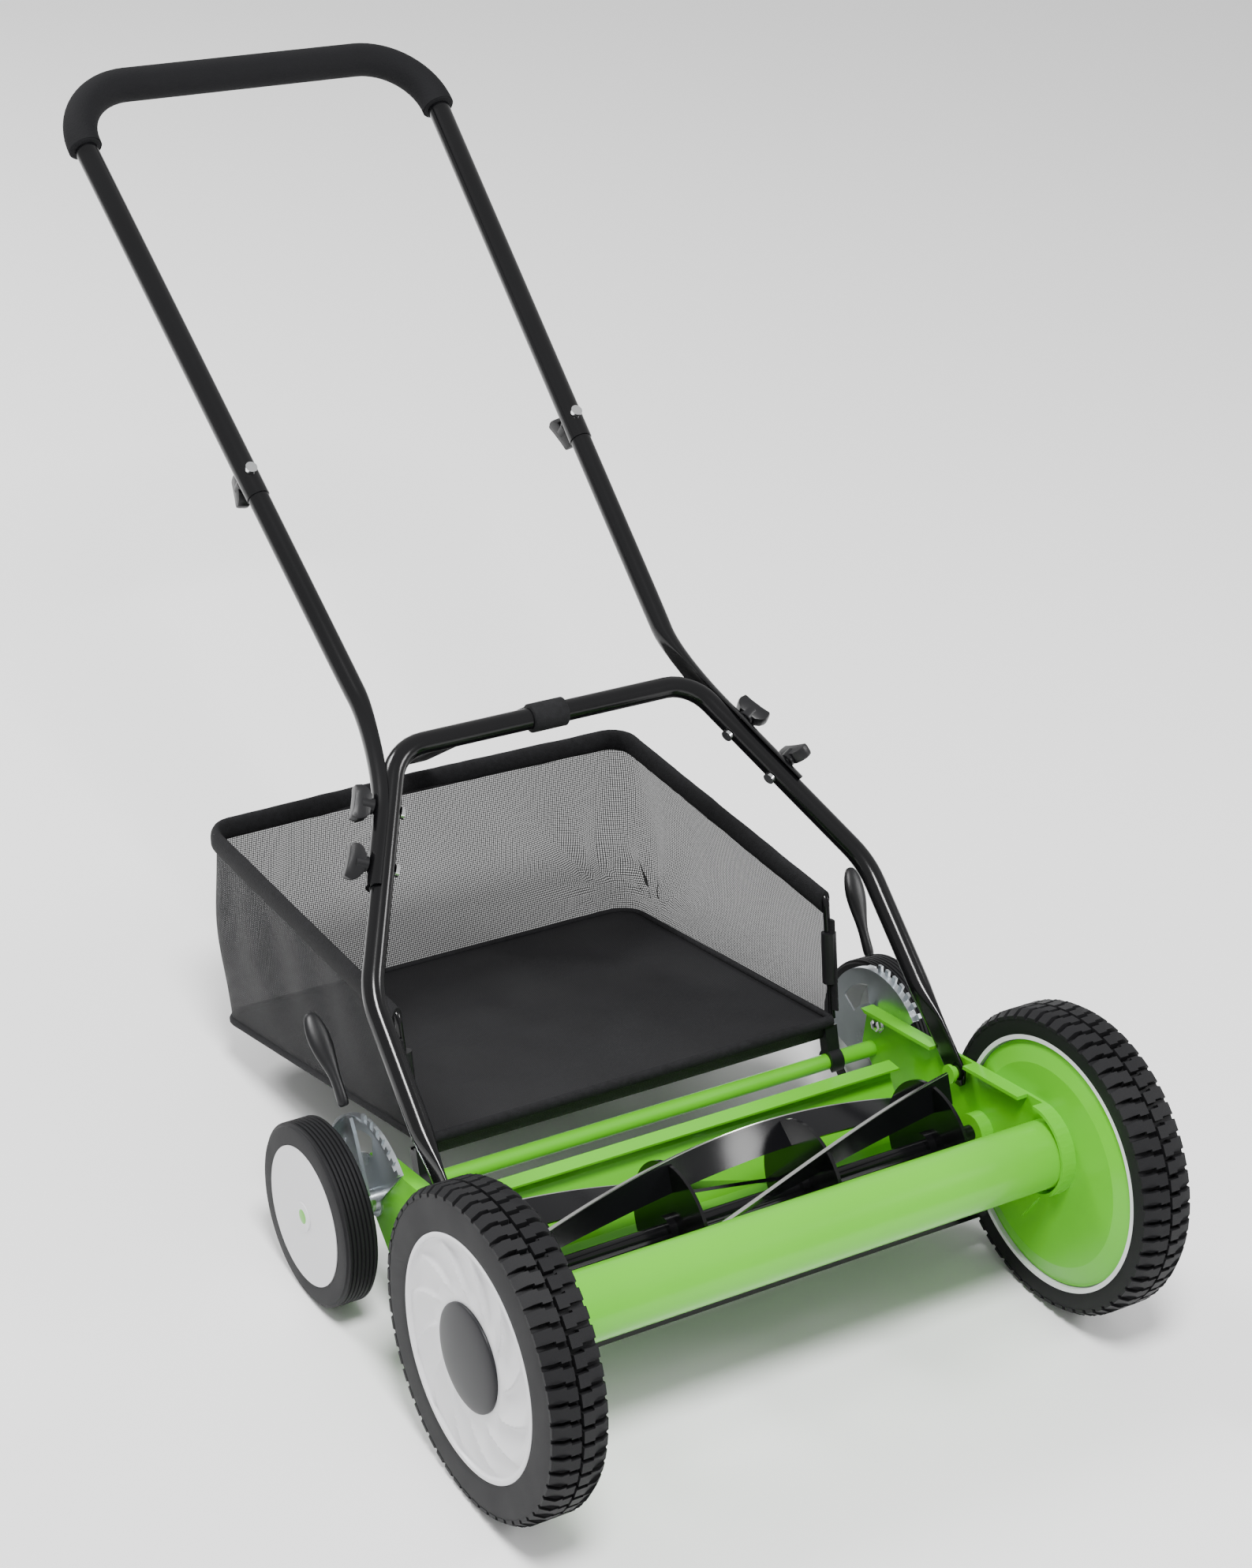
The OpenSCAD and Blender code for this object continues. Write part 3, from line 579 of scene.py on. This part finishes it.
def circle(radius, count=28):
    return [(radius * math.cos(2 * math.pi * k / count), radius * math.sin(2 * math.pi * k / count))
            for k in range(count)]


def at(x, y, z):
    """A place given in millimetres from the front axle and the ground."""
    return Vector((x / 1000, y / 1000 - MIDDLE, z / 1000))


def flipped(p):
    return Vector((-p.x, p.y, p.z))


foam = coat("grip_foam", (0.007, 0.007, 0.008), 0.85, blotch=60, vary=0.2, grain=700, relief=0.5, wear=0.06,
            gleam=0.16)
top_corner = at(175.4, 998.5, 742.5)
top_dir = Vector((0.048, 0.8438, 0.5367)).normalized()
grip_start = top_corner - top_dir * 0.064
GRIP_R, BEND_R = 0.015, 0.060
grip_corners = [grip_start, top_corner, flipped(top_corner), flipped(grip_start)]
grip_line = spread(rounded(grip_corners, [BEND_R, BEND_R]), 0.012)
grip_normal = Vector((0, -top_dir.z, top_dir.y))
ends = [grip_line[0] + (grip_line[1] - grip_line[0]).normalized() * d for d in (0.0, 0.0006, 0.002)]
tails = [grip_line[-1] + (grip_line[-2] - grip_line[-1]).normalized() * d for d in (0.002, 0.0006, 0.0)]
grip_line = ends + grip_line[1:-1] + tails
last = len(grip_line) - 1


def grip_ring(i):
    rim = {0: 0.0022, 1: 0.0008, 2: 0.0}.get(min(i, last - i), 0.0)
    return circle(GRIP_R - 0.0001 - rim, 36)


grip = new_piece("foam_grip_sleeve", *skin(grip_line, grip_normal, grip_ring), foam, 60)
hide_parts("foam_grip")
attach(grip, "handle")


# ---- Push handle: lower loop and middle tubes ----
# Round steel tube, gloss black. The loop's feet are pressed flat where they pivot on the deck,
# and each middle tube is pressed to a channel that wraps the loop's leg under two bolts.
leg_foot, leg_bend, leg_corner = at(233.8, 112.8, 147.6), at(232.7, 263.4, 265.4), at(139, 411, 384)
leg_up = (leg_corner - leg_bend).normalized()
foot_dir = (leg_bend - leg_foot).normalized()
TUBE_R, FLAT_T, FLAT_W = 0.009, 0.0021, 0.0122
loop_line = spread(rounded([leg_foot - foot_dir * 0.0122, leg_bend, leg_corner, flipped(leg_corner),
                            flipped(leg_bend), flipped(leg_foot - foot_dir * 0.0122)],
                           [0.080, 0.040, 0.040, 0.080]), 0.008)
loop_normal = Vector((0, -0.63, 0.777))


def smooth(v):
    v = max(0.0, min(1.0, v))
    return v * v * (3 - 2 * v)


def loop_ring(i):
    p = loop_line[i]
    away = min((p - leg_foot).length, (p - flipped(leg_foot)).length)
    ahead = (p.y - leg_foot.y) * foot_dir.y + (p.z - leg_foot.z) * foot_dir.z
    if ahead < 0.02:
        away = 0.0
    press = 1 - smooth((away - 0.036) / 0.045)
    nose = math.sqrt(max(0.02, 1 - (min(0, ahead) / 0.0124) ** 2)) if ahead < 0 else 1
    thin = TUBE_R + (FLAT_T - TUBE_R) * press
    wide = (TUBE_R + (FLAT_W - TUBE_R) * press) * nose
    power = 1 - 0.45 * press
    ring_points = []
    for k in range(32):
        c, s = math.cos(2 * math.pi * k / 32), math.sin(2 * math.pi * k / 32)
        ring_points.append((thin * math.copysign(abs(c) ** power, c),
                            wide * math.copysign(abs(s) ** power, s)))
    return ring_points


loop = new_piece("push_handle_loop", *skin(loop_line, loop_normal, loop_ring), black_paint, 50)
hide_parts("lower_handle")
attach(loop, "handle")

bolt_dir = Vector((0.888, 0.352, 0.295))
bolt_dir = (bolt_dir - leg_up * bolt_dir.dot(leg_up)).normalized()
joint_c = top_corner - top_dir * 0.411
mid_foot = joint_c - top_dir * 0.2447
channel_top, channel_end = leg_corner - leg_up * 0.042, leg_corner - leg_up * 0.1225
seat = mid_foot - top_dir * 0.002
stations = spread([joint_c + top_dir * 0.045, seat + top_dir * 0.030], 0.02)
OFF_LEG = 0.0108
blend_points = [seat + top_dir * 0.030, seat, channel_top + bolt_dir * 0.0125,
                channel_top - leg_up * 0.020 + bolt_dir * OFF_LEG]
for i in range(1, 17):
    t = i / 17
    a, b, c, d = blend_points
    stations.append(a * (1 - t) ** 3 + b * 3 * t * (1 - t) ** 2 + c * 3 * t * t * (1 - t) + d * t ** 3)
straight_count = len(stations) - 16
stations += spread([blend_points[3], channel_end + bolt_dir * OFF_LEG], 0.008)


def channel_ring(i):
    """Round above, and below it pressed to an arc that wraps the leg."""
    press = smooth((i - straight_count + 3) / 15)
    round_r, wrap, outer_r, inner_r, half_w = 0.0091, 1.2, 0.0130, 0.0096, 0.0112
    ring_points = []
    for k in range(32):
        a = 2 * math.pi * k / 32
        c, s = math.cos(a), math.sin(a)
        arc_r = outer_r if s >= 0 else inner_r
        flat = (half_w * math.sin(c * wrap) / math.sin(wrap), arc_r * math.cos(c * wrap) - OFF_LEG)
        ring_points.append((round_r * c * (1 - press) + flat[0] * press,
                            round_r * s * (1 - press) + flat[1] * press))
    return ring_points


for end, side in SIDES.items():
    line = [Vector((side * p.x, p.y, p.z)) for p in stations]
    outward = Vector((side * bolt_dir.x, bolt_dir.y, bolt_dir.z))
    tube = new_piece("middle_tube_skin_" + end, *skin(line, outward, channel_ring), black_paint, 50)
    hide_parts("middle_tube_" + end)
    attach(tube, "handle")


# ---- Knobs ----
# Moulded black nylon wing nuts that clamp the handle's joints, six of one kind. Each has a round
# neck and two thick wings that widen towards the fingers.
nylon = coat("black_nylon", (0.008, 0.008, 0.009), 0.34, blotch=40, vary=0.2, grain=2000, relief=0.10,
             wear=0.08, gleam=0.32)
WING = [(0.0080, 0.0031), (0.0128, 0.0066), (0.0149, 0.0108), (0.0150, 0.0132), (0.0137, 0.0176),
        (0.0128, 0.0180), (0.0060, 0.0174)]
for name in [body for body in frame["record"]["behaviour"]["bodies"] if "knob" in body]:
    joint = joints[name + "_turn"]
    node = frame["nodes"][name]
    axis, start = Vector(joint["axis"]), Vector(joint["pos_m"])
    spots = [v.co - start for v in node.data.vertices]
    base = min(p.dot(axis) for p in spots)
    far = max(spots, key=lambda p: (p - axis * p.dot(axis)).length)
    far = far - axis * far.dot(axis)
    tips = [p - axis * p.dot(axis) for p in spots if (p - axis * p.dot(axis)).length > far.length * 0.97]
    wing = sum((p if p.dot(far) > 0 else -p for p in tips), Vector()).normalized()
    thick_dir = axis.cross(wing)
    outline = WING + [(-x, h) for x, h in reversed(WING)]
    points, faces = [], []
    layers = ((-0.0054, 0.86), (-0.0050, 0.96), (-0.0030, 1.0), (0.0030, 1.0), (0.0050, 0.96),
              (0.0054, 0.86))
    middle_h = 0.0108
    for t, size in layers:
        points += [start + axis * (base + middle_h + (h - middle_h) * size) + wing * (x * size)
                   + thick_dir * t for x, h in outline]
    n = len(outline)
    for i in range(len(layers) - 1):
        faces += [(i * n + k, i * n + (k + 1) % n, (i + 1) * n + (k + 1) % n, (i + 1) * n + k)
                  for k in range(n)]
    faces += [tuple(range(n)), tuple(range((len(layers) - 1) * n, len(layers) * n))]
    knob = new_piece(name + "_wings", points, faces, nylon, 35)
    rings = [(0.0, 0.0), (0.0058, 0.0), (0.0064, 0.0006), (0.0064, 0.0105), (0.0, 0.0105)]
    points, faces, count = [], [], 32
    for r, h in rings:
        points += [start + axis * (base + h) + (wing * math.cos(a) + thick_dir * math.sin(a)) * r
                   for a in (2 * math.pi * k / count for k in range(count))]
    for i in range(len(rings) - 1):
        faces += [(i * count + k, i * count + (k + 1) % count, (i + 1) * count + (k + 1) % count,
                   (i + 1) * count + k) for k in range(count)]
    neck = new_piece("neck", points, faces, nylon, 40)
    merge(knob, neck)
    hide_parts(name)
    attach(knob, name)


# ---- Height levers' grips ----
# Dipped black vinyl spoons, one for the end of each zinc lever. They narrow to a waist above a
# small foot and then widen to the thumb's place. The foot stays clear of the quadrant's teeth.
for end, side in SIDES.items():
    shape = [((251.3, 265.8, 164.8), 2.9, 2.4), ((251.4, 266.4, 165.6), 4.2, 3.7),
             ((251.4, 268.2, 167.8), 4.8, 4.5), ((251.6, 273, 174), 4.6, 4.2), ((252.0, 279, 181), 4.4, 3.8),
             ((252.8, 285, 188), 5.6, 3.9), ((254.0, 291, 194.6), 7.8, 4.2), ((255.2, 298, 202.5), 9.7, 4.7),
             ((256.3, 304, 209.2), 9.9, 4.6), ((257.4, 310, 215.8), 8.6, 4.0),
             ((258.0, 315, 221.4), 6.0, 3.0), ((258.2, 317.2, 223.9), 2.6, 1.4)]
    line = [at(side * p[0], p[1], p[2]) for p, _, _ in shape]

    def spoon_ring(i):
        _, wide, thick = shape[i]
        return [(thick / 1000 * math.cos(a), wide / 1000 * math.sin(a))
                for a in (2 * math.pi * k / 24 for k in range(24))]

    spoon = new_piece("spoon_grip_" + end, *skin(line, Vector((side, 0, 0)), spoon_ring), nylon, 60)
    smoothing = spoon.modifiers.new("smooth", "SUBSURF")
    smoothing.levels = smoothing.render_levels = 1
    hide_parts("lever_grip_" + end)
    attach(spoon, "height_lever_" + end)


# ---- Grass catcher ----
# Open mesh walls and a woven base hang from a wire rim. The rim is bound with woven tape, the
# base has a stiff rolled front hem, and everything swings on two plastic hooks on the tie rod.
def on_uv(made, pattern, relief, see_through=False):
    """Adds threads that follow the cloth's own UV map, which is in metres."""
    nodes, link = made.node_tree.nodes, made.node_tree.links.new
    shader = nodes["Principled BSDF"]
    place = nodes.new("ShaderNodeTexCoord")
    bands = []
    for direction in ("X", "Y"):
        wave = nodes.new("ShaderNodeTexWave")
        wave.bands_direction = direction
        wave.inputs["Scale"].default_value = 0.314 / pattern
        wave.inputs["Distortion"].default_value = 0.25
        link(place.outputs["UV"], wave.inputs["Vector"])
        bands.append(wave)
    cross = nodes.new("ShaderNodeMath")
    cross.operation = "MAXIMUM" if see_through else "MULTIPLY"
    link(bands[0].outputs["Fac"], cross.inputs[0])
    link(bands[1].outputs["Fac"], cross.inputs[1])
    bump = nodes.new("ShaderNodeBump")
    bump.inputs["Strength"].default_value = relief
    bump.inputs["Distance"].default_value = 0.0006
    link(cross.outputs["Value"], bump.inputs["Height"])
    link(bump.outputs["Normal"], shader.inputs["Normal"])
    if see_through:
        gap = nodes.new("ShaderNodeMapRange")
        gap.inputs["From Min"].default_value = 0.35
        gap.inputs["From Max"].default_value = 0.9
        gap.inputs["To Min"].default_value = 0.58
        gap.inputs["To Max"].default_value = 1.0
        link(cross.outputs["Value"], gap.inputs["Value"])
        link(gap.outputs["Result"], shader.inputs["Alpha"])
    return made


woven = coat("woven_cloth", (0.007, 0.007, 0.008), 0.62, blotch=22, vary=0.25, relief=0.0, gleam=0.3)
woven = on_uv(woven, 0.0016, 0.5)
mesh_cloth = coat("mesh_cloth", (0.010, 0.010, 0.011), 0.70, blotch=22, vary=0.2, relief=0.0, gleam=0.25)
mesh_cloth = on_uv(mesh_cloth, 0.0018, 0.3, see_through=True)
tape = coat("binding_tape", (0.007, 0.007, 0.008), 0.80, blotch=220, vary=0.9, grain=900, relief=0.6,
            gleam=0.22)

rim_front, rim_rear, rim_mid = at(203, 275, 234), at(208, 612, 219), at(0, 634, 207)
base_front, base_rear = at(197, 240, 133), at(209, 577, 46)
rim_line = rounded([flipped(rim_front), flipped(rim_rear), rim_mid, rim_rear, rim_front],
                   [0.022, 0.060, 0.022])
base_line = rounded([flipped(base_front), flipped(base_rear), base_rear, base_front], [0.024, 0.024])


def resample(line, stations):
    """A point at each share of the line's length."""
    lengths = [0]
    for a, b in zip(line, line[1:]):
        lengths.append(lengths[-1] + (b - a).length)
    made, k = [], 0
    for s in stations:
        want = s * lengths[-1]
        while k < len(line) - 2 and lengths[k + 1] < want:
            k += 1
        span = max(lengths[k + 1] - lengths[k], 1e-9)
        made.append(line[k].lerp(line[k + 1], (want - lengths[k]) / span))
    return made


ACROSS, DOWN = 150, 30
shares = [i / ACROSS for i in range(ACROSS + 1)]
rim_points, base_points = resample(rim_line, shares), resample(base_line, shares)
pinch = at(196, 556, 70)


def wall(i, j):
    v = j / DOWN
    p = rim_points[i].lerp(base_points[i], v)
    along = rim_points[min(i + 1, ACROSS)] - rim_points[max(i - 1, 0)]
    down = base_points[i] - rim_points[i]
    out = down.cross(along).normalized()
    if out.dot(p - at(0, 430, 140)) < 0:
        out = -out
    held = math.sin(math.pi * v) * math.sin(math.pi * min(1, max(0, shares[i]))) ** 0.4
    slack = 0.007 * held + 0.004 * held * noise.noise(p * 11)
    ray = p - pinch
    spin = math.atan2(ray.z, ray.x + 0.6 * (ray.y))
    fold = 0.0075 * math.exp(-(ray.length / 0.13) ** 2) * math.sin(9 * spin + 14 * ray.length) * held
    soft = 0.0035 * math.sin(26 * shares[i] * math.pi + 3 * v) * held * (1 - v)
    return p + out * (slack + fold + soft - 0.002 * held)


def cloth(name, across, down, place, made, width, length, thick=None):
    """A sheet through place(i, j), with a UV map in metres of its own size."""
    points = [place(i, j) for j in range(down + 1) for i in range(across + 1)]
    n = across + 1
    faces = [(j * n + i, j * n + i + 1, (j + 1) * n + i + 1, (j + 1) * n + i)
             for j in range(down) for i in range(across)]
    piece = new_piece(name, points, faces, made, 80)
    layer = piece.data.uv_layers.new(name="cut")
    for loop_item in piece.data.loops:
        i, j = loop_item.vertex_index % n, loop_item.vertex_index // n
        layer.data[loop_item.index].uv = (width * i / across, length * j / down)
    if thick:
        wrap = piece.modifiers.new("thickness", "SOLIDIFY")
        wrap.thickness = thick
    return piece


rim_length = sum((b - a).length for a, b in zip(rim_line, rim_line[1:]))
net = cloth("catcher_net", ACROSS, DOWN, wall, mesh_cloth, width=rim_length, length=0.175)
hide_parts("catcher_mesh")
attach(net, "catcher")


BASE_ACROSS, BASE_DOWN = 60, 70


def ground(i, j):
    """The base: a lip that rises at the front, then a floor that falls to the rear, round-cornered."""
    share, v = i / BASE_ACROSS, j / BASE_DOWN
    lip_share, corner = 0.06, 24
    front_y, front_z, front_half = 236.5, 132.5, 196
    back_y, back_z, back_half = 577, 46, 209
    run = max(0.0, (v - lip_share) / (1 - lip_share))
    y, z = front_y + (back_y - front_y) * run, front_z + (back_z - front_z) * run
    if v < lip_share:
        lip = v / lip_share
        y, z = front_y + 2.5 * (1 - lip), front_z - 17.5 * (1 - lip)
    inward = max(0.0, corner - (back_y - y))
    half_w = front_half + (back_half - front_half) * run
    half_w -= corner - math.sqrt(corner * corner - inward * inward)
    x = half_w * (2 * share - 1)
    belly = math.sin(math.pi * run) * math.sin(math.pi * share)
    p = at(x, y, z)
    ray = p - pinch
    spin = math.atan2(ray.y, ray.x)
    fold = 0.006 * math.exp(-(ray.length / 0.16) ** 2) * math.sin(46 * ray.length + 2 * spin)
    ripple = 0.006 * noise.noise(p * 8) + 0.002 * noise.noise(p * 26) + fold
    return p + Vector((0, 0, -0.004 * belly + ripple * min(1, 3 * belly)))


base = cloth("catcher_floor", BASE_ACROSS, BASE_DOWN, ground, woven, width=0.405, length=0.37,
             thick=0.0012)
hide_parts("catcher_base")
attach(base, "catcher")


def hem(name, line, wide, tall, up, drop=0.0):
    count = 20

    def hem_ring(i):
        wobble = 1 + 0.05 * noise.noise(line[i] * 60)
        return [(wide * wobble * math.cos(2 * math.pi * k / count),
                 tall * wobble * math.sin(2 * math.pi * k / count) - drop) for k in range(count)]
    piece = new_piece(name, *skin(line, up, hem_ring), tape, 60)
    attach(piece, "catcher")
    return piece


Z = Vector((0, 0, 1))
binding = hem("rim_binding", spread(rim_line, 0.008), 0.0046, 0.0105, Z, 0.0065)
piping = hem("floor_piping", spread(base_line, 0.008), 0.0028, 0.0032, Z)
front_hem = hem("front_hem", spread([at(-197, 238.5, 131), at(197, 238.5, 131)], 0.01), 0.0042, 0.0052, Z)
for end, side in SIDES.items():
    post = spread([at(side * 204.5, 268, 214), at(side * 201, 243, 139)], 0.008)
    hem("front_edge_tape_" + end, post, 0.0022, 0.0075, Vector((0, 1, 0)))
    clip_line = spread([at(side * 202, 263.5, 204), at(side * 201, 251.5, 161)], 0.01)
    clip_skin = skin(clip_line, Vector((0, 1, 0)), lambda i: circle(0.0065, 24))
    clip = new_piece("post_clip_" + end, *clip_skin, nylon, 40)
    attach(clip, "catcher")
dress(nylon, "catcher_hooks")


# ---- Catcher strap ----
# Black webbing sewn into a loop round the handle's crossbar. It runs down towards the middle of
# the catcher's rear rim, which it would hold up.
bar = Vector((0, leg_corner.y, leg_corner.z))
rim_hold = rim_mid + Vector((0, 0, 0.006))
fall = (rim_hold - bar).normalized()
rise = Vector((0, -fall.z, fall.y))
if rise.z < 0:
    rise = -rise
webbing_line = [bar + rise * 0.0104 + fall * 0.002, bar + rise * 0.0104 + fall * 0.03]
webbing_line.append(rim_hold + rise * 0.006 - fall * 0.012)
webbing = spread(webbing_line, 0.01)


def web_ring(i):
    half_w, half_t = 0.0125, 0.0008
    return [(half_w, -half_t), (half_w, half_t), (0, half_t * 1.2), (-half_w, half_t), (-half_w, -half_t),
            (0, -half_t * 1.2)]


strap = new_piece("catcher_webbing", *skin(webbing, rise, web_ring), tape, 40)
sleeve_line = [bar + Vector((x / 1000, 0, 0)) for x in (-16, -15.4, -8, 0, 8, 15.4, 16)]
sleeve_skin = skin(sleeve_line, Z, lambda i: circle(0.0112 if i in (0, 6) else 0.0121))
sleeve = new_piece("strap_sleeve", *sleeve_skin, tape, 60)
merge(strap, sleeve)
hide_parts("catcher_strap")
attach(strap, "strap")
